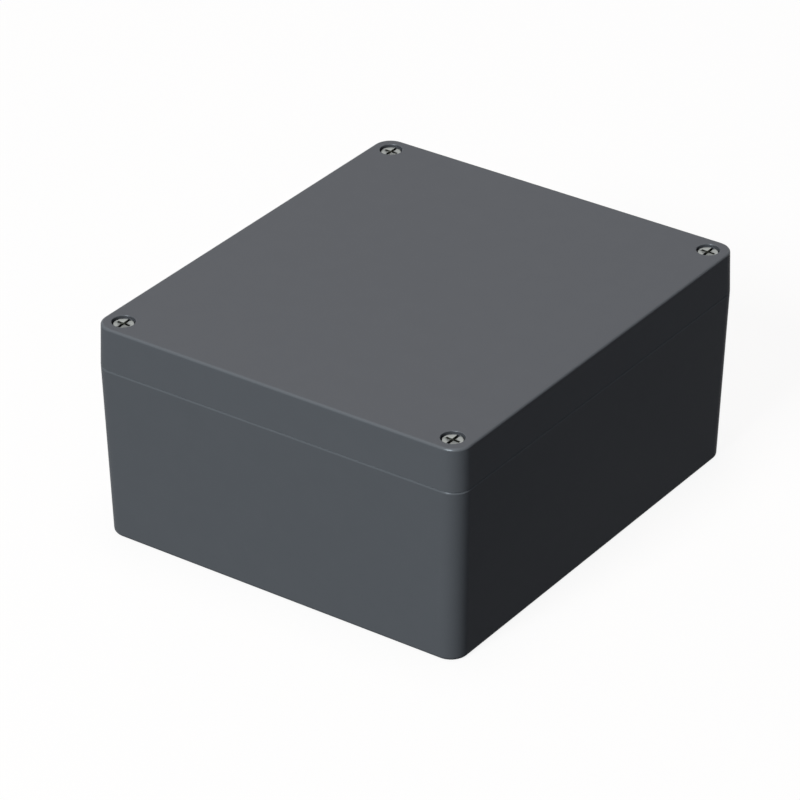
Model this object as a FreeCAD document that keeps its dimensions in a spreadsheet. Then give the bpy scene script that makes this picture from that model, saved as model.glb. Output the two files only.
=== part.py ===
import FreeCAD, Part
import math
import os
import Sketcher
from FreeCAD import Vector

# Die cast aluminium enclosure: a drafted base and lid with a seal between them, four captive lid
# screws in counterbored corners, and an earth terminal in the base and in the lid.
# Frame: origin at the bottom centre of the base, X across the width, Y along the depth, Z up.
# The front is the -Y wall. Lengths are in millimetres and angles in degrees.

DIMENSIONS = (
    # The box as a whole
    ("box_width", 202.0, "outside width at the seam, along X"),
    ("box_depth", 232.0, "outside depth at the seam, along Y"),
    ("base_height", 89.5, "underside of the base to the seam"),
    ("lid_height", 21.5, "seam to the top of the lid"),
    ("corner_radius", 9.0, "upright outside corners"),
    # The base casting
    ("base_draft", 1.55, "outer walls lean in towards the bottom"),
    ("bottom_fillet", 2.0, "edge round the underside"),
    ("rim_fillet", 1.1, "outer edge of the base's rim, under the seam"),
    ("wall", 5.6, "base wall at the rim"),
    ("cavity_draft", 0.8, "inner walls of the base and the lid"),
    ("floor_thickness", 4.5, "base floor"),
    ("floor_fillet", 3.0, "inner edge round the floor"),
    # The seal's path: along the walls and round the inside of the corner pillars
    ("pillar_reach_x", 20.8, "outer wall to the tongue's pillar side, along X"),
    ("pillar_reach_y", 35.8, "outer wall to the tongue's pillar side, along Y"),
    ("seal_corner_radius", 8.0, "tongue's outer side where a wall meets a pillar"),
    ("pillar_radius", 5.0, "tongue's outer side round a pillar's nose"),
    ("tongue_width", 1.5, "tongue"),
    ("tongue_ledge", 0.3, "rim left between the tongue and the cavity"),
    ("tongue_height", 2.2, "tongue above the seam"),
    ("tongue_fillet", 0.4, "edges along the tongue's top"),
    ("groove_clearance", 0.6, "lid groove to the tongue's outer side"),
    ("groove_width", 3.0, "lid groove"),
    ("gasket_thickness", 3.0, "seal when pressed by the tongue"),
    ("gasket_clearance", 0.1, "seal to each side of the groove"),
    # The lid casting
    ("lid_draft", 1.3, "outer walls lean in towards the top"),
    ("top_fillet", 1.2, "edge round the top of the lid"),
    ("lid_plate", 4.0, "top plate"),
    ("lid_rib", 2.6, "rib inside the groove"),
    ("plate_fillet", 2.0, "inner edge round the top plate"),
    # Lid screws and their seats
    ("screw_inset", 10.5, "outer walls to the lid screws' axes"),
    ("head_diameter", 10.0, "cheese head of a lid or earth screw"),
    ("head_height", 3.9, "cheese head"),
    ("head_fillet", 0.5, "head's top edge"),
    ("head_sunk", 1.15, "top of the lid down to the screw heads"),
    ("thread_diameter", 6.0, "nominal thread of the lid and earth screws"),
    ("tip_chamfer", 0.7, "thread's end"),
    ("neck_diameter", 4.8, "lid screw's waist, between head and thread"),
    ("screw_length", 30.0, "lid screw under its head"),
    ("thread_start", 0.7, "seam up to the top of the lid screw's thread"),
    ("slot_width", 1.6, "slot right across a head"),
    ("slot_depth", 1.3, "slot"),
    ("cross_width", 1.5, "arms of the cross recess"),
    ("cross_span", 7.2, "cross recess from end to end"),
    ("cross_depth", 2.3, "cross recess"),
    ("counterbore_clearance", 0.55, "counterbore round a screw head"),
    ("counterbore_fillet", 0.3, "counterbore's rim"),
    ("lid_hole_clearance", 0.2, "lid hole round the thread"),
    ("seat_web", 2.2, "lid between the counterbore and the ring pocket"),
    ("thread_clearance", 0.05, "tapped hole round a thread"),
    ("tapped_spare", 6.0, "tapped hole past the lid screw's tip"),
    ("mouth_depth", 2.0, "clearance mouth of the base's tapped hole"),
    # Retaining rings, which keep the screws in the lid
    ("ring_diameter", 9.4, "outside of a retaining ring"),
    ("ring_thickness", 1.3, "retaining ring"),
    ("ring_clearance", 0.05, "ring round the screw's waist, and ring above the thread"),
    ("pocket_clearance", 0.3, "ring pocket round a ring"),
    # Wall fixing through the corner pillars
    ("fixing_inset_x", 11.0, "outer wall to the wall fixing holes' axes, along X"),
    ("fixing_inset_y", 26.0, "outer wall to the wall fixing holes' axes, along Y"),
    ("fixing_hole", 6.6, "hole for a wall screw"),
    ("channel_diameter", 12.0, "channel down a pillar to the wall screw's head"),
    ("channel_floor", 8.0, "underside up to the wall screw's seat"),
    ("lid_core_depth", 10.0, "core in the lid above each channel"),
    # Bosses for a mounting plate
    ("plate_inset_x", 41.0, "outer wall to the mounting plate bosses' axes, along X"),
    ("plate_inset_y", 21.0, "outer wall to the mounting plate bosses' axes, along Y"),
    ("plate_boss_diameter", 12.0, "mounting plate boss"),
    ("plate_boss_height", 8.0, "mounting plate boss above the floor"),
    ("plate_hole", 5.0, "core hole of the boss's M6 thread"),
    ("plate_hole_depth", 10.0, "core hole of the boss's M6 thread"),
    ("boss_fillet", 1.5, "foot of a boss"),
    # Earth terminals, one in the base and one in the lid
    ("earth_inset", 26.0, "left outer wall to the earth terminals' axes"),
    ("earth_y", 0.0, "centre to the earth terminals' axes, along Y"),
    ("earth_boss_diameter", 14.0, "earth boss"),
    ("base_earth_boss", 10.0, "earth boss above the base's floor"),
    ("lid_earth_boss", 9.0, "earth boss below the lid's plate"),
    ("base_earth_length", 12.0, "base earth screw under its head"),
    ("lid_earth_length", 10.0, "lid earth screw under its head"),
    ("earth_hole_spare", 1.5, "tapped hole past an earth screw's tip"),
    ("spring_washer_diameter", 10.6, "spring washer, pressed flat"),
    ("spring_washer_thickness", 1.6, "spring washer"),
    ("spring_washer_slit", 1.0, "gap between the spring washer's ends"),
    ("clamp_width", 13.0, "clamp washer, square"),
    ("clamp_thickness", 1.2, "clamp washer"),
    ("clamp_corner", 1.5, "clamp washer's corners"),
    ("washer_clearance", 0.2, "washers round the thread"),
    # Ejector marks left in the base's floor
    ("mark_inset_x", 61.0, "outer wall to the ejector marks, along X"),
    ("mark_inset_y", 51.0, "outer wall to the ejector marks nearest it, along Y"),
    ("mark_diameter", 9.0, "ejector mark"),
    ("mark_depth", 0.3, "ejector mark"),
)

doc = FreeCAD.newDocument("enclosure")
sheet = doc.addObject("Spreadsheet::Sheet", "dim")
for row, (alias, number, meaning) in enumerate(DIMENSIONS, 1):
    sheet.set(f"A{row}", alias)
    sheet.set(f"B{row}", str(number))
    sheet.set(f"C{row}", meaning)
    sheet.setAlias(f"B{row}", alias)
doc.recompute()

# Places that several pieces share, as expressions of the sheet
HALF_WIDTH = "dim.box_width / 2"
HALF_DEPTH = "dim.box_depth / 2"
SEAM = "dim.base_height"
LID_TOP = "dim.base_height + dim.lid_height"
TONGUE_TOP = "dim.base_height + dim.tongue_height"
GROOVE_TOP = f"{TONGUE_TOP} + dim.gasket_thickness"
TONGUE_INSET = "dim.wall - dim.tongue_ledge - dim.tongue_width"
GROOVE_INSET = f"{TONGUE_INSET} - dim.groove_clearance"
GROOVE_END = f"{GROOVE_INSET} + dim.groove_width"
HOLLOW_INSET = f"{GROOVE_END} + dim.lid_rib"
PLATE_UNDERSIDE = f"{LID_TOP} - dim.lid_plate"
SCREW_X = f"{HALF_WIDTH} - dim.screw_inset"
SCREW_Y = f"{HALF_DEPTH} - dim.screw_inset"
FIXING_X = f"{HALF_WIDTH} - dim.fixing_inset_x"
FIXING_Y = f"{HALF_DEPTH} - dim.fixing_inset_y"
PLATE_X = f"{HALF_WIDTH} - dim.plate_inset_x"
PLATE_Y = f"{HALF_DEPTH} - dim.plate_inset_y"
EARTH_X = f"dim.earth_inset - {HALF_WIDTH}"
EARTH_Y = "dim.earth_y"
MARK_X = f"{HALF_WIDTH} - dim.mark_inset_x"
MARK_Y = f"{HALF_DEPTH} - dim.mark_inset_y"
SCREW_SEAT = f"{LID_TOP} - dim.head_sunk - dim.head_height"
SCREW_TIP = f"{SCREW_SEAT} - dim.screw_length"
THREAD_TOP = f"{SEAM} + dim.thread_start"
TAPPED_HOLE = "dim.thread_diameter + 2 * dim.thread_clearance"
RING_POCKET = "dim.ring_diameter + 2 * dim.pocket_clearance"
BASE_EARTH_TOP = "dim.floor_thickness + dim.base_earth_boss"
LID_EARTH_TOP = f"{PLATE_UNDERSIDE} - dim.lid_earth_boss"
WASHER_STACK = "dim.clamp_thickness + dim.spring_washer_thickness"
# Closest that two measures are told apart, and the least volume that a feature may change
TOLERANCE = 0.01

CORNERS = {
    "front_left": (-1, -1),
    "front_right": (1, -1),
    "back_left": (-1, 1),
    "back_right": (1, 1),
}


def value(expression):
    """The number that an expression of the sheet gives now."""
    return float(sheet.evalExpression(expression))


def minus(expression):
    return f"-({expression})"


def new_body(label):
    body = doc.addObject("PartDesign::Body", label)
    body.Label = label
    return body


def new_sketch(body, name, height="0", plane="XY_Plane"):
    """A sketch on one of the body's own planes, raised by an expression."""
    sketch = body.newObject("Sketcher::SketchObject", name)
    origin_plane = [part for part in body.Origin.OriginFeatures if part.Role == plane][0]
    sketch.AttachmentSupport = [(origin_plane, "")]
    sketch.MapMode = "FlatFace"
    sketch.setExpression("AttachmentOffset.Base.z", height)
    return sketch


def place_point(sketch, line, end, expression, direction):
    """Ties one coordinate of a point of the sketch to an expression."""
    number = value(expression)
    axis = -2 if direction == "DistanceX" else -1
    if number == 0:
        sketch.addConstraint(Sketcher.Constraint("PointOnObject", line, end, axis))
    elif number > 0:
        tie = Sketcher.Constraint(direction, -1, 1, line, end, number)
        sketch.setExpression(f"Constraints[{sketch.addConstraint(tie)}]", expression)
    else:
        tie = Sketcher.Constraint(direction, line, end, -1, 1, -number)
        sketch.setExpression(f"Constraints[{sketch.addConstraint(tie)}]", minus(expression))


def draw_outline(sketch, points):
    """A closed outline of straight lines through points whose coordinates are expressions."""
    corners = [Vector(value(x), value(y), 0) for x, y in points]
    first = sketch.GeometryCount
    count = len(corners)
    for number in range(count):
        line = Part.LineSegment(corners[number], corners[(number + 1) % count])
        sketch.addGeometry(line, False)
    for number in range(count):
        following = first + (number + 1) % count
        sketch.addConstraint(Sketcher.Constraint("Coincident", first + number, 2, following, 1))
    for number, (x, y) in enumerate(points):
        place_point(sketch, first + number, 1, x, "DistanceX")
        place_point(sketch, first + number, 1, y, "DistanceY")


def draw_rounded_outline(sketch, points, radii):
    """A closed outline of level and upright lines, anticlockwise, with an arc at each corner.
    Corners and radii are expressions, and a corner may turn either way."""
    corners = [Vector(value(x), value(y), 0) for x, y in points]
    count = len(corners)
    first = sketch.GeometryCount
    ways = [(corners[(n + 1) % count] - corners[n]).normalize() for n in range(count)]
    sizes = [value(radius) for radius in radii]
    for n in range(count):
        start = corners[n] + ways[n] * sizes[n]
        end = corners[(n + 1) % count] - ways[n] * sizes[(n + 1) % count]
        sketch.addGeometry(Part.LineSegment(start, end), False)
        level = abs(ways[n].y) < 0.5
        sketch.addConstraint(Sketcher.Constraint("Horizontal" if level else "Vertical", first + n))
        if level:
            place_point(sketch, first + n, 1, points[n][1], "DistanceY")
        else:
            place_point(sketch, first + n, 1, points[n][0], "DistanceX")
    for n in range(count):
        before = ways[n - 1]
        left_turn = before.cross(ways[n]).z > 0
        centre = corners[n] - before * sizes[n] + ways[n] * sizes[n]
        begin = -ways[n] if left_turn else before
        angle = math.atan2(begin.y, begin.x)
        circle = Part.Circle(centre, Vector(0, 0, 1), sizes[n])
        arc = sketch.addGeometry(Part.ArcOfCircle(circle, angle, angle + math.pi / 2), False)
        ends = (1, 2) if left_turn else (2, 1)
        previous = first + (n - 1) % count
        sketch.addConstraint(Sketcher.Constraint("Tangent", previous, 2, arc, ends[0]))
        sketch.addConstraint(Sketcher.Constraint("Tangent", arc, ends[1], first + n, 1))
        tie = sketch.addConstraint(Sketcher.Constraint("Radius", arc, sizes[n]))
        sketch.setExpression(f"Constraints[{tie}]", radii[n])


def draw_rectangle(sketch, half_x, half_y, centre_x="0", centre_y="0"):
    points = []
    for x_sign, y_sign in (("-", "-"), ("+", "-"), ("+", "+"), ("-", "+")):
        points.append((f"{centre_x} {x_sign} ({half_x})", f"{centre_y} {y_sign} ({half_y})"))
    draw_outline(sketch, points)


def draw_circle(sketch, x, y, diameter):
    radius = value(diameter) / 2
    circle = sketch.addGeometry(Part.Circle(Vector(value(x), value(y), 0), Vector(0, 0, 1), radius))
    place_point(sketch, circle, 3, x, "DistanceX")
    place_point(sketch, circle, 3, y, "DistanceY")
    tie = sketch.addConstraint(Sketcher.Constraint("Diameter", circle, 2 * radius))
    sketch.setExpression(f"Constraints[{tie}]", diameter)


def draw_four_circles(sketch, x, y, diameter):
    """Circles at the four corners of a rectangle about the centre."""
    for x_side, y_side in CORNERS.values():
        draw_circle(sketch, f"{x_side} * ({x})", f"{y_side} * ({y})", diameter)


def wall_radius(inset):
    """Radius of a seal outline where a wall meets a pillar."""
    return f"dim.seal_corner_radius + {TONGUE_INSET} - ({inset})"


def nose_radius(inset):
    """Radius of a seal outline round the nose of a pillar."""
    return f"dim.pillar_radius - ({TONGUE_INSET}) + ({inset})"


def notch_x(inset):
    """Centre to a pillar's side of a seal outline, along X."""
    return f"({HALF_WIDTH} - dim.pillar_reach_x + {TONGUE_INSET} - ({inset}))"


def notch_y(inset):
    """Centre to a pillar's side of a seal outline, along Y."""
    return f"({HALF_DEPTH} - dim.pillar_reach_y + {TONGUE_INSET} - ({inset}))"


def seal_outline(inset):
    """The path of the seal at an inset from the outer walls: a rectangle with a notch round
    each corner pillar, anticlockwise. The notches move with the inset, so outlines run parallel."""
    wall_x = f"({HALF_WIDTH} - ({inset}))"
    wall_y = f"({HALF_DEPTH} - ({inset}))"
    side_x = notch_x(inset)
    side_y = notch_y(inset)
    return four_quarters([(wall_x, side_y), (side_x, side_y), (side_x, wall_y)])


def four_quarters(quarter):
    """A closed outline, anticlockwise, from the points of its first quarter."""
    points = list(quarter)
    points += [(minus(x), y) for x, y in reversed(quarter)]
    points += [(minus(x), minus(y)) for x, y in quarter]
    points += [(x, minus(y)) for x, y in reversed(quarter)]
    return points


def draw_seal_ring(sketch, outer_inset, inner_inset):
    """Two rounded seal outlines, one inside the other."""
    for inset in (outer_inset, inner_inset):
        radii = [wall_radius(inset), nose_radius(inset), wall_radius(inset)] * 4
        draw_rounded_outline(sketch, seal_outline(inset), radii)


def extrude(body, kind, sketch, length, reverse=False):
    """A Pad or Pocket of a sketch, by a length given as an expression."""
    before = body.Shape.Volume if body.Tip else 0.0
    feature = body.newObject(f"PartDesign::{kind}", f"{sketch.Name}{kind}")
    feature.Profile = sketch
    feature.setExpression("Length", length)
    feature.Reversed = reverse
    sketch.Visibility = False
    doc.recompute()
    check_change(feature, body.Shape.Volume - before, kind == "Pad")
    return feature


def check_change(feature, grew, adds):
    """Stops the build where a feature added or took away nothing, or did the opposite."""
    if abs(grew) < TOLERANCE or (grew > 0) != adds:
        raise ValueError(f"{feature.Name} changed the volume by {grew:.2f} mm3")


def draft_walls(body, name, angle, level, low, high, reverse, adds):
    """Leans every wall that climbs from one height to the other about its line at a level.
    A core's walls gain metal by it, and outside walls lose some."""
    base = body.Tip
    before = body.Shape.Volume
    walls = []
    hinges = []
    for number, face in enumerate(base.Shape.Faces, 1):
        box = face.BoundBox
        if near(box.ZMin, value(low)) and near(box.ZMax, value(high)):
            walls.append(f"Face{number}")
        elif near(box.ZMin, value(level)) and near(box.ZMax, value(level)):
            hinges.append(f"Face{number}")
    feature = body.newObject("PartDesign::Draft", name)
    feature.Base = (base, walls)
    feature.NeutralPlane = (base, hinges[:1])
    feature.setExpression("Angle", angle)
    feature.Reversed = reverse
    doc.recompute()
    check_change(feature, body.Shape.Volume - before, adds)
    return feature


def round_edges(body, name, radius, wanted, kind="Fillet"):
    """A Fillet or Chamfer on the edges of the body that a test picks."""
    base = body.Tip
    names = []
    for number, edge in enumerate(base.Shape.Edges, 1):
        if wanted(edge):
            names.append(f"Edge{number}")
    if not names:
        raise ValueError(f"{name} found no edges on {body.Label}")
    feature = body.newObject(f"PartDesign::{kind}", name)
    feature.Base = (base, names)
    feature.setExpression("Radius" if kind == "Fillet" else "Size", radius)
    doc.recompute()
    return feature


def near(first, second):
    return abs(first - second) < TOLERANCE


def is_level(edge, height):
    """True of an edge that lies at a height all along."""
    box = edge.BoundBox
    return near(box.ZMin, height) and near(box.ZMax, height)


def is_upright(edge, low, high):
    """True of a straight edge that climbs from one height to the other."""
    box = edge.BoundBox
    straight = edge.Curve.TypeId == "Part::GeomLine"
    return straight and near(box.ZMin, low) and near(box.ZMax, high)


def is_circle(edge, diameter, height):
    """True of a level circle of a diameter at a height."""
    round_edge = edge.Curve.TypeId == "Part::GeomCircle"
    return round_edge and near(2 * edge.Curve.Radius, diameter) and is_level(edge, height)


def round_seal_corners(body, name, inset, low, high):
    """Rounds the upright edges of a seal outline, at its own inset, between two heights."""
    bottom, top = sorted((value(low), value(high)))
    edges_x = value(notch_x(inset))
    edges_y = value(notch_y(inset))
    # The cavity's draft shifts its edges by this much at most, well under the wall's distance
    slack = 0.25 * min(value(HALF_WIDTH) - edges_x, value(HALF_DEPTH) - edges_y)

    def in_band(edge):
        centre = edge.BoundBox.Center
        inside = abs(centre.x) < value(f"{HALF_WIDTH} - ({inset})") + TOLERANCE
        return is_upright(edge, bottom, top) and inside

    def at_nose(edge):
        centre = edge.BoundBox.Center
        return abs(abs(centre.x) - edges_x) < slack and abs(abs(centre.y) - edges_y) < slack

    round_edges(body, f"{name}Noses", nose_radius(inset),
                lambda edge: in_band(edge) and at_nose(edge))
    round_edges(body, f"{name}Corners", wall_radius(inset),
                lambda edge: in_band(edge) and not at_nose(edge))


def build_base():
    body = new_body("base")
    seam = value(SEAM)
    tongue_top = value(TONGUE_TOP)
    floor = value("dim.floor_thickness")

    # Outer shape, drafted down from the seam
    sketch = new_sketch(body, "BaseOutline", SEAM)
    draw_rectangle(sketch, HALF_WIDTH, HALF_DEPTH)
    extrude(body, "Pad", sketch, SEAM, reverse=True)
    draft_walls(body, "BaseDraft", "dim.base_draft", SEAM, "0", SEAM,
                reverse=True, adds=False)
    round_edges(body, "BaseCorners", "dim.corner_radius", lambda edge: is_upright(edge, 0, seam))
    round_edges(body, "BottomEdge", "dim.bottom_fillet", lambda edge: is_level(edge, 0))
    round_edges(body, "RimEdge", "dim.rim_fillet", lambda edge: is_level(edge, seam))

    # Cavity, drafted, with the corner pillars left standing
    sketch = new_sketch(body, "CavityOutline", SEAM)
    draw_outline(sketch, seal_outline("dim.wall"))
    extrude(body, "Pocket", sketch, f"{SEAM} - dim.floor_thickness")
    draft_walls(body, "CavityDraft", "dim.cavity_draft", SEAM, "dim.floor_thickness", SEAM,
                reverse=False, adds=True)
    round_seal_corners(body, "Cavity", "dim.wall", "dim.floor_thickness", SEAM)
    round_edges(body, "FloorEdge", "dim.floor_fillet", lambda edge: is_level(edge, floor))

    # Sealing tongue on the rim, inside the screws
    sketch = new_sketch(body, "TongueOutline", SEAM)
    draw_seal_ring(sketch, TONGUE_INSET, f"{TONGUE_INSET} + dim.tongue_width")
    extrude(body, "Pad", sketch, "dim.tongue_height")
    round_edges(body, "TongueEdges", "dim.tongue_fillet", lambda edge: is_level(edge, tongue_top))

    # Tapped holes for the lid screws
    sketch = new_sketch(body, "ScrewHoles", SEAM)
    draw_four_circles(sketch, SCREW_X, SCREW_Y, TAPPED_HOLE)
    extrude(body, "Pocket", sketch, f"{SEAM} - ({SCREW_TIP}) + dim.tapped_spare")
    sketch = new_sketch(body, "ScrewMouths", SEAM)
    draw_four_circles(sketch, SCREW_X, SCREW_Y, RING_POCKET)
    extrude(body, "Pocket", sketch, "dim.mouth_depth")

    # Wall fixing: a channel down each pillar and a hole through its foot
    sketch = new_sketch(body, "FixingChannels", SEAM)
    draw_four_circles(sketch, FIXING_X, FIXING_Y, "dim.channel_diameter")
    extrude(body, "Pocket", sketch, f"{SEAM} - dim.channel_floor")
    sketch = new_sketch(body, "FixingHoles", "dim.channel_floor")
    draw_four_circles(sketch, FIXING_X, FIXING_Y, "dim.fixing_hole")
    extrude(body, "Pocket", sketch, "dim.channel_floor")

    # Bosses on the floor, with their tapped holes
    sketch = new_sketch(body, "PlateBosses", "dim.floor_thickness")
    draw_four_circles(sketch, PLATE_X, PLATE_Y, "dim.plate_boss_diameter")
    extrude(body, "Pad", sketch, "dim.plate_boss_height")
    sketch = new_sketch(body, "EarthBoss", "dim.floor_thickness")
    draw_circle(sketch, EARTH_X, EARTH_Y, "dim.earth_boss_diameter")
    extrude(body, "Pad", sketch, "dim.base_earth_boss")
    feet = (value("dim.plate_boss_diameter"), value("dim.earth_boss_diameter"))
    round_edges(body, "BossFeet", "dim.boss_fillet",
                lambda edge: any(is_circle(edge, foot, floor) for foot in feet))
    sketch = new_sketch(body, "PlateHoles", "dim.floor_thickness + dim.plate_boss_height")
    draw_four_circles(sketch, PLATE_X, PLATE_Y, "dim.plate_hole")
    extrude(body, "Pocket", sketch, "dim.plate_hole_depth")
    sketch = new_sketch(body, "EarthHole", BASE_EARTH_TOP)
    draw_circle(sketch, EARTH_X, EARTH_Y, TAPPED_HOLE)
    depth = f"dim.base_earth_length - ({WASHER_STACK}) + dim.earth_hole_spare"
    extrude(body, "Pocket", sketch, depth)

    # Ejector marks in the floor
    sketch = new_sketch(body, "EjectorMarks", "dim.floor_thickness")
    for column in (-1, 1):
        for mark_row in (-1, 0, 1):
            draw_circle(sketch, f"{column} * ({MARK_X})", f"{mark_row} * ({MARK_Y})",
                        "dim.mark_diameter")
    extrude(body, "Pocket", sketch, "dim.mark_depth")
    return body


def build_lid():
    body = new_body("lid")
    seam = value(SEAM)
    top = value(LID_TOP)
    underside = value(PLATE_UNDERSIDE)

    # Outer shape, drafted up from the seam
    sketch = new_sketch(body, "LidOutline", SEAM)
    draw_rectangle(sketch, HALF_WIDTH, HALF_DEPTH)
    extrude(body, "Pad", sketch, "dim.lid_height")
    draft_walls(body, "LidDraft", "dim.lid_draft", SEAM, SEAM, LID_TOP,
                reverse=False, adds=False)
    round_edges(body, "LidCorners", "dim.corner_radius", lambda edge: is_upright(edge, seam, top))
    round_edges(body, "TopEdge", "dim.top_fillet", lambda edge: is_level(edge, top))

    # Hollow under the top plate
    sketch = new_sketch(body, "Hollow", SEAM)
    draw_outline(sketch, seal_outline(HOLLOW_INSET))
    extrude(body, "Pocket", sketch, "dim.lid_height - dim.lid_plate", reverse=True)
    draft_walls(body, "HollowDraft", "dim.cavity_draft", SEAM, SEAM, PLATE_UNDERSIDE,
                reverse=True, adds=True)
    round_seal_corners(body, "Hollow", HOLLOW_INSET, SEAM, PLATE_UNDERSIDE)
    round_edges(body, "PlateEdge", "dim.plate_fillet", lambda edge: is_level(edge, underside))

    # Gasket groove
    sketch = new_sketch(body, "Groove", SEAM)
    draw_seal_ring(sketch, GROOVE_INSET, GROOVE_END)
    extrude(body, "Pocket", sketch, f"{GROOVE_TOP} - ({SEAM})", reverse=True)

    # Screw seats: counterbores from above, clearance holes, and ring pockets from below
    counterbore = "dim.head_diameter + 2 * dim.counterbore_clearance"
    sketch = new_sketch(body, "Counterbores", LID_TOP)
    draw_four_circles(sketch, SCREW_X, SCREW_Y, counterbore)
    extrude(body, "Pocket", sketch, "dim.head_sunk + dim.head_height")
    sketch = new_sketch(body, "ClearanceHoles", SCREW_SEAT)
    draw_four_circles(sketch, SCREW_X, SCREW_Y, "dim.thread_diameter + 2 * dim.lid_hole_clearance")
    extrude(body, "Pocket", sketch, f"{SCREW_SEAT} - ({SEAM})")
    sketch = new_sketch(body, "RingPockets", SEAM)
    draw_four_circles(sketch, SCREW_X, SCREW_Y, RING_POCKET)
    extrude(body, "Pocket", sketch, f"{SCREW_SEAT} - dim.seat_web - ({SEAM})", reverse=True)
    round_edges(body, "CounterboreRims", "dim.counterbore_fillet",
                lambda edge: is_circle(edge, value(counterbore), top))

    # Cores above the wall fixing channels
    sketch = new_sketch(body, "ChannelCores", SEAM)
    draw_four_circles(sketch, FIXING_X, FIXING_Y, "dim.channel_diameter")
    extrude(body, "Pocket", sketch, "dim.lid_core_depth", reverse=True)

    # Earth boss under the plate
    sketch = new_sketch(body, "LidEarthBoss", LID_EARTH_TOP)
    draw_circle(sketch, EARTH_X, EARTH_Y, "dim.earth_boss_diameter")
    extrude(body, "Pad", sketch, "dim.lid_earth_boss")
    round_edges(body, "LidBossFoot", "dim.boss_fillet",
                lambda edge: is_circle(edge, value("dim.earth_boss_diameter"), underside))
    sketch = new_sketch(body, "LidEarthHole", LID_EARTH_TOP)
    draw_circle(sketch, EARTH_X, EARTH_Y, TAPPED_HOLE)
    depth = f"dim.lid_earth_length - ({WASHER_STACK}) + dim.earth_hole_spare"
    extrude(body, "Pocket", sketch, depth, reverse=True)
    return body


def build_gasket():
    """The seal, which fills the groove from the tongue's top to the groove's roof."""
    body = new_body("lid_gasket")
    sketch = new_sketch(body, "GasketOutline", TONGUE_TOP)
    draw_seal_ring(sketch, f"{GROOVE_INSET} + dim.gasket_clearance",
                   f"{GROOVE_END} - dim.gasket_clearance")
    extrude(body, "Pad", sketch, "dim.gasket_thickness")
    return body


def place_body(body, x, y, height, turn=0.0):
    """Sets a body at a place given as expressions, turned about the X axis by degrees."""
    body.Placement.Rotation = FreeCAD.Rotation(Vector(1, 0, 0), turn)
    body.setExpression("Placement.Base.x", x)
    body.setExpression("Placement.Base.y", y)
    body.setExpression("Placement.Base.z", height)


def build_screw(label, length, neck_length=None):
    """A cheese head screw with its head's underside at height 0. The head has a slot right
    across it and a shorter cross recess. A captive screw has a thin neck above its thread."""
    body = new_body(label)
    head = "dim.head_diameter / 2"
    thread = "dim.thread_diameter / 2"
    neck = "dim.neck_diameter / 2"
    profile = [("0", "dim.head_height"), (head, "dim.head_height"), (head, "0")]
    if neck_length:
        profile += [(neck, "0"), (neck, minus(neck_length)), (thread, minus(neck_length))]
    else:
        profile += [(thread, "0")]
    profile += [(thread, minus(length)), ("0", minus(length))]
    sketch = new_sketch(body, f"{label}_profile", plane="XZ_Plane")
    draw_outline(sketch, profile)
    turned = body.newObject("PartDesign::Revolution", f"{label}_turned")
    turned.Profile = sketch
    turned.ReferenceAxis = (sketch, ["V_Axis"])
    turned.Angle = 360
    doc.recompute()

    head_top = value("dim.head_height")
    tip = -value(length)
    round_edges(body, f"{label}_edge", "dim.head_fillet",
                lambda edge: is_circle(edge, value("dim.head_diameter"), head_top))
    round_edges(body, f"{label}_tip", "dim.tip_chamfer",
                lambda edge: is_circle(edge, value("dim.thread_diameter"), tip), "Chamfer")

    sketch = new_sketch(body, f"{label}_slot", "dim.head_height")
    draw_rectangle(sketch, "dim.slot_width / 2", "dim.head_diameter")
    extrude(body, "Pocket", sketch, "dim.slot_depth")
    arm = "dim.cross_width / 2"
    span = "dim.cross_span / 2"
    sketch = new_sketch(body, f"{label}_cross", "dim.head_height")
    draw_outline(sketch, four_quarters([(span, arm), (arm, arm), (arm, span)]))
    extrude(body, "Pocket", sketch, "dim.cross_depth")
    return body


def build_lid_screws():
    neck_length = f"{SCREW_SEAT} - ({THREAD_TOP})"
    for corner, (x_side, y_side) in CORNERS.items():
        body = build_screw(f"lid_screw_{corner}", "dim.screw_length", neck_length)
        place_body(body, f"{x_side} * ({SCREW_X})", f"{y_side} * ({SCREW_Y})", SCREW_SEAT)
        yield body


def build_washer(label, outside, inside, thickness):
    """A flat ring with its underside at height 0."""
    body = new_body(label)
    sketch = new_sketch(body, f"{label}_outline")
    draw_circle(sketch, "0", "0", outside)
    draw_circle(sketch, "0", "0", inside)
    extrude(body, "Pad", sketch, thickness)
    return body


def build_retaining_rings():
    """Each ring rides on its screw's waist, just above the thread."""
    bore = "dim.neck_diameter + 2 * dim.ring_clearance"
    for corner, (x_side, y_side) in CORNERS.items():
        label = f"retaining_ring_{corner}"
        body = build_washer(label, "dim.ring_diameter", bore, "dim.ring_thickness")
        height = f"{THREAD_TOP} + dim.ring_clearance"
        place_body(body, f"{x_side} * ({SCREW_X})", f"{y_side} * ({SCREW_Y})", height)
        yield body


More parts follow.
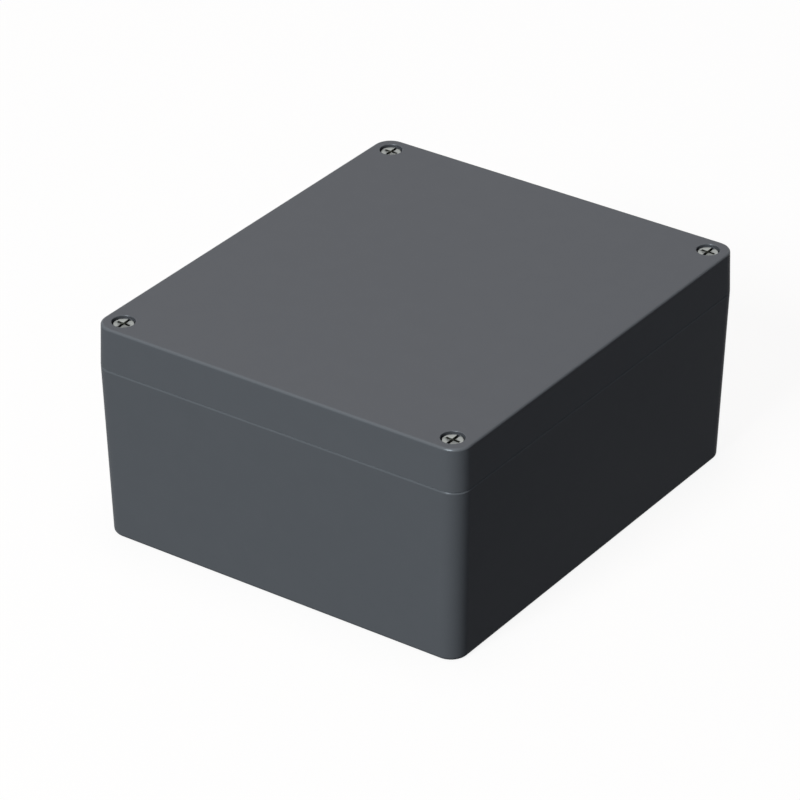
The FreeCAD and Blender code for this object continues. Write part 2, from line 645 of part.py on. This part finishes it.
def build_earth_terminal(owner, length, boss_top, upward):
    """A clamp washer, a spring washer and a screw on a boss, standing up in the base or
    hanging from the lid."""
    turn = 0.0 if upward else 180.0
    way = "+" if upward else "-"
    hole = "dim.thread_diameter + 2 * dim.washer_clearance"

    clamp = new_body(f"{owner}_earth_clamp_washer")
    sketch = new_sketch(clamp, f"{owner}_clamp_outline")
    draw_rectangle(sketch, "dim.clamp_width / 2", "dim.clamp_width / 2")
    extrude(clamp, "Pad", sketch, "dim.clamp_thickness")
    round_edges(clamp, f"{owner}_clamp_corners", "dim.clamp_corner",
                lambda edge: is_upright(edge, 0, value("dim.clamp_thickness")))
    sketch = new_sketch(clamp, f"{owner}_clamp_hole")
    draw_circle(sketch, "0", "0", hole)
    extrude(clamp, "Pocket", sketch, "dim.clamp_thickness", reverse=True)
    place_body(clamp, EARTH_X, EARTH_Y, boss_top, turn)

    spring = build_washer(f"{owner}_earth_spring_washer", "dim.spring_washer_diameter", hole,
                          "dim.spring_washer_thickness")
    sketch = new_sketch(spring, f"{owner}_spring_slit")
    half_reach = "dim.spring_washer_diameter / 4"
    draw_rectangle(sketch, half_reach, "dim.spring_washer_slit / 2", half_reach, "0")
    extrude(spring, "Pocket", sketch, "dim.spring_washer_thickness", reverse=True)
    place_body(spring, EARTH_X, EARTH_Y, f"{boss_top} {way} dim.clamp_thickness", turn)

    screw = build_screw(f"{owner}_earth_screw", length)
    place_body(screw, EARTH_X, EARTH_Y, f"{boss_top} {way} ({WASHER_STACK})", turn)
    return [clamp, spring, screw]


pieces = [build_base(), build_lid(), build_gasket()]
pieces += list(build_lid_screws())
pieces += list(build_retaining_rings())
pieces += build_earth_terminal("base", "dim.base_earth_length", BASE_EARTH_TOP, upward=True)
pieces += build_earth_terminal("lid", "dim.lid_earth_length", LID_EARTH_TOP, upward=False)
doc.recompute()

for item in doc.Objects:
    if "Invalid" in item.State or "Error" in item.State:
        raise ValueError(f"{item.Name} failed: {item.State}")
os.makedirs("parts", exist_ok=True)
for piece in pieces:
    if piece.Shape.isNull() or not piece.Shape.isValid() or len(piece.Shape.Solids) != 1:
        raise ValueError(f"{piece.Label} is not one sound solid")
for piece in pieces:
    piece.Shape.exportStep(f"parts/{piece.Label}.step")
    print(f"{piece.Label}: {piece.Shape.Volume:.0f} mm3")
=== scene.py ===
import math

import bmesh
import bpy
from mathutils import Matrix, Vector


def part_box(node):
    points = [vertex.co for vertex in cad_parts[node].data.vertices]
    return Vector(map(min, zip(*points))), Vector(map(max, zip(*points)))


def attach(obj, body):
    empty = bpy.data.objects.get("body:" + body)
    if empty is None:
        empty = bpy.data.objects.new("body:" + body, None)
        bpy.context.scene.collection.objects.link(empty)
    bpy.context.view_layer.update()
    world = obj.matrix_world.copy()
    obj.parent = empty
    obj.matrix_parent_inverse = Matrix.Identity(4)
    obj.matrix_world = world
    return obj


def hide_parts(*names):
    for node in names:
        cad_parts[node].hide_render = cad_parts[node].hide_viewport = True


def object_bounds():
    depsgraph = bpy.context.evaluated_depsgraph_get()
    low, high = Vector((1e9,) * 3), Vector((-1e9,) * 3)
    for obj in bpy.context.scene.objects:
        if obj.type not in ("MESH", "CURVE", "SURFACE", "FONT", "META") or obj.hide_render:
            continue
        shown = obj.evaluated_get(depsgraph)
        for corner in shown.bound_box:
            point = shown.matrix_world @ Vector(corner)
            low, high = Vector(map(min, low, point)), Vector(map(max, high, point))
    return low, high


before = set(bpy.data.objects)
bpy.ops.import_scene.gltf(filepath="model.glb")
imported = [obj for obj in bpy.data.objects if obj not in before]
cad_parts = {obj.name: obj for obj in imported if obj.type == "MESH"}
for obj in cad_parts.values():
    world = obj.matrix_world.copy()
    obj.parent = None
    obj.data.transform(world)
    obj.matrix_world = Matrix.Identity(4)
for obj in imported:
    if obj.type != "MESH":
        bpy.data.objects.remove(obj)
cad_low, cad_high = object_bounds()

# Die cast aluminium enclosure, powder coated outside and bare inside, on a plain pale floor.
# Lengths are in metres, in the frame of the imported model. The front is the -Y wall.

# The camera looks from the right front, above. CAMERA_BACK points from the box back to it, along
# its line of sight. The lens and the sensor are in millimetres.
CAMERA_PLACE = Vector((1.0209, -1.4742, 1.0851))
CAMERA_BACK = Vector((0.4967, -0.7094, 0.5))
CAMERA_LENS = 199.4
CAMERA_SENSOR = 36.0
CAMERA_REACH = 100.0

# Each light has its way from the box's middle, a distance, a width, a level and a tint. The glint
# shares the key's distance, width and tint. The ambient light is even all round.
WHITE = (1.0, 1.0, 1.0)
KEY_WAY = Vector((-0.017, -0.819, 0.574))
KEY_DISTANCE = 6.0
KEY_SIZE = 2.0
KEY_LIGHT = 0.82
KEY_TINT = (0.98, 1.0, 1.0)
GLINT_WAY = Vector((0.16, -0.83, 0.54))
GLINT_LIGHT = 1.15
TOP_WAY = Vector((0.0, 0.0, 1.0))
TOP_DISTANCE = 4.0
TOP_SIZE = 2.0
TOP_LIGHT = 0.42
TOP_TINT = (1.0, 0.86, 0.79)
FILL_WAY = Vector((-0.72, 0.69, 0.0))
FILL_DISTANCE = 2.4
FILL_SIZE = 1.4
FILL_LIGHT = 0.5
AMBIENT = 0.078
AMBIENT_TINT = (0.86, 0.97, 1.2)

# The floor lies just under the box. It glows to the rays that show it, and bounces little light.
FLOOR_REACH = 30.0
FLOOR_DROP = 0.0002
FLOOR_GLOW = 0.9
FLOOR_BOUNCE = 0.03

# Sizes of the castings that the finishes need
BOX_HALF = Vector((cad_high.x, cad_high.y))
BASE_HEIGHT = 0.0895
BASE_LEAN = math.tan(math.radians(1.55))
CORNER_RADIUS = 0.0090
COAT_EDGE = 0.0022
BASE_EDGE_WIDTH = 0.0011
LID_EDGE_WIDTH = 0.0012
EDGE_MARGIN = 0.00002
UNDERSIDE_MARGIN = 0.0004
LID_PLATE = 0.0040
LID_PLATE_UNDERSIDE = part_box("lid")[1].z - LID_PLATE
PLATE_MARGIN = 0.0001
SCREW_SEAT = 0.10595
SEAT_MARGIN = 0.0005
COUNTERBORE_RADIUS = 0.0056
WORN_RIM_RADIUS = 0.0060

# Lid screw, measured from its seat, with its axis up. Its shank reaches a little up into the head,
# and the head keeps a stub below its seat, so that their shells overlap.
HEAD_RADIUS = 0.0050
HEAD_HEIGHT = 0.0039
RECESS_MARGIN = 0.00015
STUB_END = -0.0010
SHANK_TOP = 0.0003
NECK_RADIUS = 0.0024
NECK_END = -0.01575
THREAD_RADIUS = 0.0030
THREAD_PITCH = 0.0010
THREAD_DEPTH = 0.000541
RUN_OUT = 0.0010
TIP = -0.0300
TIP_CHAMFER = 0.0007
SHANK_COLUMNS = 48
ROWS_A_PITCH = 12
MERGE_DISTANCE = 0.000001
SHARPEST_ANGLE = math.radians(32.0)

CORNERS = ("front_left", "front_right", "back_left", "back_right")


def linear(red, green, blue):
    """A colour given in 8 bit display values, as the shader's linear values."""
    values = []
    for level in (red, green, blue):
        share = level / 255.0
        values.append(share / 12.92 if share <= 0.04045 else ((share + 0.055) / 1.055) ** 2.4)
    return tuple(values)


# Powder coat. Its grains are the sizes of its clouds, specks and orange peel, and its metal is the
# share that shines through on edges.
COAT_DARK = linear(93, 97, 102)
COAT_LIGHT = linear(97, 101, 106)
# A lighter coat colour painted on the rounded edges, as a painted highlight.
COAT_PAINTED_HIGHLIGHT = linear(99, 104, 109)
# A darker coat colour painted in the counterbores, as painted shade.
COAT_PAINTED_SHADE = linear(83, 86, 91)
COAT_SHINE = 0.015
COAT_ROUGHNESS = (0.33, 0.39)
THIN_ROUGHNESS = 0.34
CLOUD_GRAIN = 0.011
SPECK_GRAIN = 0.0006
SPECK_SHARE = 0.4
PEEL_GRAIN = 0.0022
PEEL_DEPTH = 0.000022
EDGE_METAL = 0.055
WORN_METAL = 0.30

# Bare die cast metal, with the flow of the melt in it
METAL_DARK = (0.36, 0.365, 0.37)
METAL_LIGHT = (0.60, 0.605, 0.61)
METAL_ROUGHNESS = (0.50, 0.66)
FLOW_GRAIN = 0.016
SAND_GRAIN = 0.0007
SAND_DEPTH = 0.000010

# Turned metal. A smudge darkens it to a level of its colour, and its roughness varies by a spread.
STEEL = (0.387, 0.402, 0.388)
STEEL_ROUGHNESS = 0.38
ZINC = (0.50, 0.50, 0.46)
ZINC_ROUGHNESS = 0.34
ROUGHNESS_SPREAD = 0.04
# A near black colour painted into the screw heads' slot and cross, as painted shade.
RECESS_PAINTED_SHADE = (0.02, 0.021, 0.018)
SMUDGE_GRAIN = 0.0016
SMUDGE_LEVEL = 0.92
GROOVE_WIDTH = 0.00016
GROOVE_DEPTH = 0.0000006
SCRATCH_GRAIN = 0.0005
SCRATCH_DEPTH = 0.0000015

# Sealing rubber
RUBBER_DARK = (0.010, 0.010, 0.011)
RUBBER_LIGHT = (0.030, 0.030, 0.031)
RUBBER_ROUGHNESS = (0.62, 0.78)
RUBBER_SHINE = 0.3
PORE_GRAIN = 0.0005
PORE_DEPTH = 0.00006

# Natural nylon
NYLON_DARK = (0.60, 0.57, 0.48)
NYLON_LIGHT = (0.70, 0.67, 0.58)
NYLON_ROUGHNESS = (0.36, 0.48)
SKIN_GRAIN = 0.0016
SKIN_DEPTH = 0.00001


# Shader nodes

def new_material(name):
    """A material with its node tree and its Principled shader."""
    material = bpy.data.materials.new(name)
    material.use_nodes = True
    tree = material.node_tree
    return material, tree, tree.nodes["Principled BSDF"]


def add_node(tree, kind, inputs=None, **settings):
    """A node with its settings and inputs. An input is a plain value or another node's output."""
    node = tree.nodes.new(kind)
    for name, setting in settings.items():
        setattr(node, name, setting)
    for name, source in (inputs or {}).items():
        if isinstance(source, bpy.types.NodeSocket):
            tree.links.new(source, node.inputs[name])
        else:
            node.inputs[name].default_value = source
    return node


def calculate(tree, operation, first, second=0.0):
    """A Math node's result."""
    return add_node(tree, "ShaderNodeMath", {0: first, 1: second}, operation=operation).outputs[0]


def object_place(tree, centre=None):
    """Coordinates that move with the piece, from a centre."""
    place = add_node(tree, "ShaderNodeTexCoord").outputs["Object"]
    if centre is None:
        return place
    return add_node(tree, "ShaderNodeVectorMath", {0: place, 1: centre}, operation="SUBTRACT").outputs[0]


def noise(tree, place, grain, detail=2.0, roughness=0.5):
    """Noise whose features are about as large as the grain."""
    inputs = {"Vector": place, "Scale": 1.0 / grain, "Detail": detail, "Roughness": roughness}
    return add_node(tree, "ShaderNodeTexNoise", inputs).outputs["Fac"]


def blend_colours(tree, share, first, second):
    """A colour between two, by a share of the second. A Mix node takes its colours at inputs 6 and
    7, and gives their blend at output 2."""
    inputs = {0: share}
    for number, source in ((6, first), (7, second)):
        inputs[number] = source if isinstance(source, bpy.types.NodeSocket) else (*source, 1.0)
    return add_node(tree, "ShaderNodeMix", inputs, data_type="RGBA").outputs[2]


def blend_numbers(tree, share, first, second):
    """A number between two, by a share of the second."""
    inputs = {0: share, 2: first, 3: second}
    return add_node(tree, "ShaderNodeMix", inputs, data_type="FLOAT").outputs[0]


def relief(tree, height, depth, below=None):
    """A normal with a height's relief, of a depth, over another relief."""
    inputs = {"Height": height, "Distance": depth, "Strength": 1.0}
    if below is not None:
        inputs["Normal"] = below
    return add_node(tree, "ShaderNodeBump", inputs).outputs["Normal"]


# Masks, from the separate coordinates of a point on a piece

def past_corner_centres(tree, split, lean):
    """How far a point lies past the centres of the walls' round corners, along X and along Y.
    The walls lean in by a length."""
    spans = []
    for axis in (0, 1):
        straight = calculate(tree, "SUBTRACT", BOX_HALF[axis] - CORNER_RADIUS, lean)
        past = calculate(tree, "SUBTRACT", calculate(tree, "ABSOLUTE", split.outputs[axis]), straight)
        spans.append(calculate(tree, "MAXIMUM", past, 0.0))
    return spans


def within_walls(tree, split, lean):
    """1 where a point is further in than the coat's edge, on walls that lean in by a length."""
    squares = [calculate(tree, "POWER", span, 2.0) for span in past_corner_centres(tree, split, lean)]
    past_corner = calculate(tree, "SQRT", calculate(tree, "ADD", *squares))
    return calculate(tree, "LESS_THAN", past_corner, CORNER_RADIUS - COAT_EDGE)


def near_screws(tree, split, radius):
    """1 within a radius of the lid screws' axes."""
    low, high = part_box("lid_screw_back_right")
    screw = (low + high) / 2
    squares = []
    for axis in (0, 1):
        offset = calculate(tree, "SUBTRACT", calculate(tree, "ABSOLUTE", split.outputs[axis]), screw[axis])
        squares.append(calculate(tree, "POWER", offset, 2.0))
    return calculate(tree, "LESS_THAN", calculate(tree, "ADD", *squares), radius ** 2)


def counterbore_mask(tree, split):
    """1 in the lid's counterbores, from their seats up to their rims."""
    above = calculate(tree, "GREATER_THAN", split.outputs[2], SCREW_SEAT - SEAT_MARGIN)
    return calculate(tree, "MULTIPLY", near_screws(tree, split, COUNTERBORE_RADIUS), above)


def inside_base(tree, split):
    """1 where the base is bare metal: inside the coat's edge on the rim, above the underside."""
    depth = calculate(tree, "SUBTRACT", BASE_HEIGHT, split.outputs[2])
    inside = within_walls(tree, split, calculate(tree, "MULTIPLY", depth, BASE_LEAN))
    above = calculate(tree, "GREATER_THAN", split.outputs[2], UNDERSIDE_MARGIN)
    return calculate(tree, "MULTIPLY", inside, above)


def inside_lid(tree, split):
    """1 where the lid is bare metal: under its plate, inside the coat's edge, but not in the
    counterbores."""
    inside = within_walls(tree, split, 0.0)
    below = calculate(tree, "LESS_THAN", split.outputs[2], LID_PLATE_UNDERSIDE + PLATE_MARGIN)
    coated = calculate(tree, "SUBTRACT", 1.0, counterbore_mask(tree, split))
    return calculate(tree, "MULTIPLY", calculate(tree, "MULTIPLY", inside, below), coated)


def edge_mask(tree, split, low, high):
    """1 on a rounded edge between two heights, where a painted highlight and a little metal go."""
    above = calculate(tree, "GREATER_THAN", split.outputs[2], low)
    below = calculate(tree, "LESS_THAN", split.outputs[2], high)
    return calculate(tree, "MULTIPLY", above, below)


def wear_mask(tree, split):
    """1 where edges wear most: at the middle of a round corner, falling to 0 where its straight
    walls start, and on the counterbores' rims."""
    product = calculate(tree, "MULTIPLY", *past_corner_centres(tree, split, 0.0))
    corner = calculate(tree, "MULTIPLY", product, 2 / CORNER_RADIUS ** 2)
    return calculate(tree, "MAXIMUM", corner, near_screws(tree, split, WORN_RIM_RADIUS))


def recess_mask(tree, split, radius):
    """1 in a lid screw's slot and cross, whose head stands on height 0 of its own axis."""
    inside = calculate(tree, "LESS_THAN", radius, HEAD_RADIUS - RECESS_MARGIN)
    below = calculate(tree, "LESS_THAN", split.outputs[2], HEAD_HEIGHT - RECESS_MARGIN)
    above = calculate(tree, "GREATER_THAN", split.outputs[2], RECESS_MARGIN)
    return calculate(tree, "MULTIPLY", calculate(tree, "MULTIPLY", inside, below), above)


# Finishes

def casting(name, bare_mask, edge_low, edge_high):
    """Satin powder coat with a fine orange peel, and matt die cast metal where the mask is 1. On
    the edge between two heights the coat is painted lighter as a painted highlight, and a little
    metal shines through, more of it where the edge is worn. The counterbores are painted darker
    as painted shade."""
    material, tree, shader = new_material(name)
    place = object_place(tree)
    split = add_node(tree, "ShaderNodeSeparateXYZ", {0: place})
    bare = bare_mask(tree, split)
    painted_highlight_edge = edge_mask(tree, split, edge_low, edge_high)
    cloud = noise(tree, place, CLOUD_GRAIN, detail=3.0)
    speck = noise(tree, place, SPECK_GRAIN)
    flow = noise(tree, place, FLOW_GRAIN, detail=5.0, roughness=0.62)

    coat = blend_colours(tree, blend_numbers(tree, SPECK_SHARE, cloud, speck), COAT_DARK, COAT_LIGHT)
    # A lighter colour on the edge band: a painted highlight.
    coat = blend_colours(tree, painted_highlight_edge, coat, COAT_PAINTED_HIGHLIGHT)
    # A darker colour in the counterbores: painted shade.
    coat = blend_colours(tree, counterbore_mask(tree, split), coat, COAT_PAINTED_SHADE)
    metal = blend_colours(tree, flow, METAL_DARK, METAL_LIGHT)
    tree.links.new(blend_colours(tree, bare, coat, metal), shader.inputs["Base Color"])

    coat_roughness = blend_numbers(tree, speck, *COAT_ROUGHNESS)
    coat_roughness = blend_numbers(tree, painted_highlight_edge, coat_roughness, THIN_ROUGHNESS)
    metal_roughness = blend_numbers(tree, flow, *METAL_ROUGHNESS)
    tree.links.new(blend_numbers(tree, bare, coat_roughness, metal_roughness), shader.inputs["Roughness"])

    wear = blend_numbers(tree, wear_mask(tree, split), EDGE_METAL, WORN_METAL)
    shining = calculate(tree, "MAXIMUM", bare, calculate(tree, "MULTIPLY", painted_highlight_edge, wear))
    tree.links.new(shining, shader.inputs["Metallic"])
    shader.inputs["Specular IOR Level"].default_value = COAT_SHINE

    surface = relief(tree, noise(tree, place, PEEL_GRAIN, detail=1.0), PEEL_DEPTH)
    surface = relief(tree, noise(tree, place, SAND_GRAIN), SAND_DEPTH, surface)
    tree.links.new(surface, shader.inputs["Normal"])
    return material


def turned_metal(name, colour, roughness, centre=None, paint_recess_shade=False):
    """Metal turned on a lathe, with fine grooves round a centre or the piece's own axis. A recess
    is painted near black, as painted shade."""
    material, tree, shader = new_material(name)
    place = object_place(tree, centre)
    split = add_node(tree, "ShaderNodeSeparateXYZ", {0: place})
    flat = add_node(tree, "ShaderNodeCombineXYZ", {0: split.outputs[0], 1: split.outputs[1]})
    length = add_node(tree, "ShaderNodeVectorMath", {0: flat.outputs[0]}, operation="LENGTH")
    radius = length.outputs["Value"]
    smudge = noise(tree, place, SMUDGE_GRAIN, detail=3.0)

    finish = blend_colours(tree, smudge, tuple(SMUDGE_LEVEL * part for part in colour), colour)
    if paint_recess_shade:
        # Painted shade in the slot and cross of the head.
        finish = blend_colours(tree, recess_mask(tree, split, radius), finish, RECESS_PAINTED_SHADE)
    tree.links.new(finish, shader.inputs["Base Color"])
    dullness = blend_numbers(tree, smudge, roughness - ROUGHNESS_SPREAD, roughness + ROUGHNESS_SPREAD)
    tree.links.new(dullness, shader.inputs["Roughness"])
    shader.inputs["Metallic"].default_value = 1.0

    grooves = calculate(tree, "SINE", calculate(tree, "MULTIPLY", radius, math.tau / GROOVE_WIDTH))
    surface = relief(tree, grooves, GROOVE_DEPTH)
    surface = relief(tree, noise(tree, place, SCRATCH_GRAIN), SCRATCH_DEPTH, surface)
    tree.links.new(surface, shader.inputs["Normal"])
    return material


def sealing_rubber(name):
    """Matt black rubber with fine pores."""
    material, tree, shader = new_material(name)
    pores = noise(tree, object_place(tree), PORE_GRAIN, detail=3.0)
    colour = blend_colours(tree, pores, RUBBER_DARK, RUBBER_LIGHT)
    tree.links.new(colour, shader.inputs["Base Color"])
    tree.links.new(blend_numbers(tree, pores, *RUBBER_ROUGHNESS), shader.inputs["Roughness"])
    shader.inputs["Specular IOR Level"].default_value = RUBBER_SHINE
    tree.links.new(relief(tree, pores, PORE_DEPTH), shader.inputs["Normal"])
    return material


def natural_nylon(name):
    """Cream nylon with a moulded skin."""
    material, tree, shader = new_material(name)
    skin = noise(tree, object_place(tree), SKIN_GRAIN)
    colour = blend_colours(tree, skin, NYLON_DARK, NYLON_LIGHT)
    tree.links.new(colour, shader.inputs["Base Color"])
    tree.links.new(blend_numbers(tree, skin, *NYLON_ROUGHNESS), shader.inputs["Roughness"])
    tree.links.new(relief(tree, skin, SKIN_DEPTH), shader.inputs["Normal"])
    return material


def dress(node, material):
    """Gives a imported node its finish."""
    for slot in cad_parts[node].material_slots:
        slot.material = material


def dress_castings():
    """Coat and bare metal for the base and the lid. The base's edge takes in its rim, and the lid's
    leaves out its flat top."""
    base_edge = (BASE_HEIGHT - BASE_EDGE_WIDTH, BASE_HEIGHT + EDGE_MARGIN)
    lid_edge = (cad_high.z - LID_EDGE_WIDTH, cad_high.z - EDGE_MARGIN)
    dress("base", casting("base_casting", inside_base, *base_edge))
    dress("lid", casting("lid_casting", inside_lid, *lid_edge))


def dress_rings():
    """One nylon for the four rings that keep the lid screws in the lid."""
    nylon = natural_nylon("natural_nylon")
    for corner in CORNERS:
        dress(f"retaining_ring_{corner}", nylon)


def dress_earth_terminals():
    """Zinc plate for the base's and the lid's earth terminals, which stand on one axis."""
    earth_low, earth_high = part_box("base_earth_screw")
    axis = (earth_low + earth_high) / 2
    zinc = turned_metal("zinc_plate", ZINC, ZINC_ROUGHNESS, centre=(axis.x, axis.y, 0.0))
    for owner in ("base", "lid"):
        for part in ("clamp_washer", "spring_washer", "screw"):
            dress(f"{owner}_earth_{part}", zinc)


# Lid screws

def thread_radius(turn, height):
    """The shank's outline at an angle, in turns, and a height: a waist, then a 60 degree thread
    that runs out at both ends. A crest is an eighth of the pitch wide, and a root a quarter."""
    if height > NECK_END:
        return NECK_RADIUS
    crest_end = THREAD_PITCH / 16
    root_start = THREAD_PITCH * 3 / 8
    from_crest = abs((height / THREAD_PITCH - turn) % 1.0 - 0.5) * THREAD_PITCH
    rise = (root_start - from_crest) / (root_start - crest_end)
    radius = THREAD_RADIUS - THREAD_DEPTH + THREAD_DEPTH * min(max(rise, 0.0), 1.0)
    top_limit = NECK_RADIUS + (NECK_END - height) / RUN_OUT * (THREAD_RADIUS - NECK_RADIUS)
    tip_limit = THREAD_RADIUS - TIP_CHAMFER + (height - TIP)
    return min(radius, top_limit, tip_limit)


def build_shank():
    """A closed shell from the tip up to the shank's top, as rings of points."""
    step = THREAD_PITCH / ROWS_A_PITCH
    rows = int(round((NECK_END - TIP) / step)) + 1
    heights = [TIP + number * step for number in range(rows)] + [NECK_END + step / 4, SHANK_TOP]
    shell = bmesh.new()
    rings = []
    for height in heights:
        ring = []
        for column in range(SHANK_COLUMNS):
            turn = column / SHANK_COLUMNS
            radius = thread_radius(turn, height)
            angle = math.tau * turn
            ring.append(shell.verts.new((radius * math.cos(angle), radius * math.sin(angle), height)))
        rings.append(ring)
    for lower, upper in zip(rings, rings[1:]):
        for column in range(SHANK_COLUMNS):
            after = (column + 1) % SHANK_COLUMNS
            shell.faces.new((lower[column], lower[after], upper[after], upper[column]))
    shell.faces.new(list(reversed(rings[0])))
    shell.faces.new(rings[-1])
    mesh = bpy.data.meshes.new("shank")
    shell.to_mesh(mesh)
    shell.free()
    return mesh


def build_head(node, axis):
    """The head and the stub of a packed screw, as a closed shell on its own axis."""
    shell = bmesh.new()
    shell.from_mesh(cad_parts[node].data)
    bmesh.ops.translate(shell, verts=shell.verts, vec=(-axis.x, -axis.y, -SCREW_SEAT))
    bmesh.ops.remove_doubles(shell, verts=shell.verts, dist=MERGE_DISTANCE)
    everything = shell.verts[:] + shell.edges[:] + shell.faces[:]
    bmesh.ops.bisect_plane(
        shell, geom=everything, plane_co=(0, 0, STUB_END), plane_no=(0, 0, -1), clear_outer=True)
    bmesh.ops.holes_fill(shell, edges=[edge for edge in shell.edges if edge.is_boundary])
    bmesh.ops.recalc_face_normals(shell, faces=shell.faces)
    mesh = bpy.data.meshes.new("head")
    shell.to_mesh(mesh)
    shell.free()
    return mesh


def join_shells(first, second):
    """One closed mesh from two that overlap."""
    keep = bpy.data.objects.new("joined", first)
    other = bpy.data.objects.new("cutter", second)
    for piece in (keep, other):
        bpy.context.scene.collection.objects.link(piece)
    union = keep.modifiers.new("Union", "BOOLEAN")
    union.operation = "UNION"
    union.solver = "EXACT"
    union.object = other
    bpy.context.view_layer.update()
    evaluated = keep.evaluated_get(bpy.context.evaluated_depsgraph_get())
    mesh = bpy.data.meshes.new_from_object(evaluated)
    for piece in (keep, other):
        bpy.data.objects.remove(piece)
    return mesh


def shade(mesh):
    """Smooth shading, but for edges that turn by more than the sharpest angle."""
    for face in mesh.polygons:
        face.use_smooth = True
    mesh.set_sharp_from_angle(angle=SHARPEST_ANGLE)


def build_lid_screws(material):
    """Lid screws with a real thread, each in the place of its packed one."""
    low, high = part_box("lid_screw_front_left")
    head = build_head("lid_screw_front_left", (low + high) / 2)
    mesh = join_shells(head, build_shank())
    mesh.name = "threaded_screw"
    shade(mesh)
    mesh.materials.clear()
    mesh.materials.append(material)
    for corner in CORNERS:
        node = f"lid_screw_{corner}"
        low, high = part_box(node)
        piece = bpy.data.objects.new(f"threaded_{node}", mesh)
        bpy.context.scene.collection.objects.link(piece)
        piece.location = ((low.x + high.x) / 2, (low.y + high.y) / 2, SCREW_SEAT)
        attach(piece, f"screw_{corner}")
        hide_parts(node)


# Floor, lights and camera

def seen_rays(tree):
    """1 for rays that show the background: camera, glossy and transmission rays."""
    path = add_node(tree, "ShaderNodeLightPath")
    seen = calculate(tree, "MAXIMUM", path.outputs["Is Camera Ray"], path.outputs["Is Glossy Ray"])
    return calculate(tree, "MAXIMUM", seen, path.outputs["Is Transmission Ray"])


def build_floor():
    """A pale floor. It shows white with the object's soft shadow, and bounces little light."""
    mesh = bpy.data.meshes.new("floor")
    reach = FLOOR_REACH
    corners = [(-reach, -reach, 0), (reach, -reach, 0), (reach, reach, 0), (-reach, reach, 0)]
    mesh.from_pydata(corners, [], [(0, 1, 2, 3)])
    floor = bpy.data.objects.new("floor", mesh)
    floor.location.z = cad_low.z - FLOOR_DROP
    bpy.context.scene.collection.objects.link(floor)
    material, tree, shader = new_material("pale_floor")
    lit = add_node(tree, "ShaderNodeBsdfDiffuse", {"Color": (*WHITE, 1.0)})
    glow = add_node(tree, "ShaderNodeEmission", {"Color": (*WHITE, 1.0), "Strength": 1.0})
    shown = add_node(tree, "ShaderNodeMixShader", {0: FLOOR_GLOW, 1: lit.outputs[0], 2: glow.outputs[0]})
    dark = (FLOOR_BOUNCE, FLOOR_BOUNCE, FLOOR_BOUNCE, 1.0)
    dull = add_node(tree, "ShaderNodeBsdfDiffuse", {"Color": dark})
    mixed = add_node(tree, "ShaderNodeMixShader",
                     {0: seen_rays(tree), 1: dull.outputs[0], 2: shown.outputs[0]})
    tree.links.new(mixed.outputs[0], tree.nodes["Material Output"].inputs["Surface"])
    tree.nodes.remove(shader)
    mesh.materials.append(material)


def build_world():
    """White to the rays that show it, and a weak even light for the rest."""
    world = bpy.data.worlds.new("studio")
    world.use_nodes = True
    tree = world.node_tree
    background = tree.nodes["Background"]
    seen = seen_rays(tree)
    tree.links.new(blend_colours(tree, seen, AMBIENT_TINT, WHITE), background.inputs["Color"])
    tree.links.new(blend_numbers(tree, seen, AMBIENT, 1.0), background.inputs["Strength"])
    bpy.context.scene.world = world


def build_light(name, way, distance, size, level, tint):
    """A round soft light, at a level at which a surface that faces it shows its own colour."""
    light = bpy.data.lights.new(name, "AREA")
    light.shape = "DISK"
    light.size = size
    light.energy = level * (math.pi * distance) ** 2
    light.color = tint
    lamp = bpy.data.objects.new(name, light)
    centre = (cad_low + cad_high) / 2
    lamp.location = centre + way.normalized() * distance
    lamp.rotation_euler = way.to_track_quat("Z", "Y").to_euler()
    lamp.visible_camera = False
    bpy.context.scene.collection.objects.link(lamp)
    return lamp


def build_lights():
    """The key light from the front, a glint beside it, a fill from behind and a light on top.
    The glint shows only as a glint on the lid, and the fill and the top light show no glare."""
    build_light("key", KEY_WAY, KEY_DISTANCE, KEY_SIZE, KEY_LIGHT, KEY_TINT)
    glint = build_light("glint", GLINT_WAY, KEY_DISTANCE, KEY_SIZE, GLINT_LIGHT, KEY_TINT)
    glint.visible_diffuse = False
    receivers = bpy.data.collections.new("glint_receivers")
    receivers.objects.link(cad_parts["lid"])
    glint.light_linking.receiver_collection = receivers
    fill = build_light("fill", FILL_WAY, FILL_DISTANCE, FILL_SIZE, FILL_LIGHT, WHITE)
    top = build_light("top", TOP_WAY, TOP_DISTANCE, TOP_SIZE, TOP_LIGHT, TOP_TINT)
    for lamp in (fill, top):
        lamp.visible_glossy = False


def build_camera():
    """A long lens from the right front, above."""
    camera = bpy.data.objects.new("camera", bpy.data.cameras.new("camera"))
    camera.data.lens = CAMERA_LENS
    camera.data.sensor_width = CAMERA_SENSOR
    camera.data.clip_end = CAMERA_REACH
    camera.location = CAMERA_PLACE
    camera.rotation_euler = (-CAMERA_BACK).to_track_quat("-Z", "Y").to_euler()
    bpy.context.scene.collection.objects.link(camera)
    bpy.context.scene.camera = camera


build_camera()
build_world()
build_lights()
build_floor()

dress_castings()
dress("lid_gasket", sealing_rubber("sealing_rubber"))
dress_rings()
# The screws' slots and crosses get painted shade.
build_lid_screws(turned_metal("turned_steel", STEEL, STEEL_ROUGHNESS, paint_recess_shade=True))
dress_earth_terminals()

bpy.context.scene.view_settings.view_transform = "Standard"
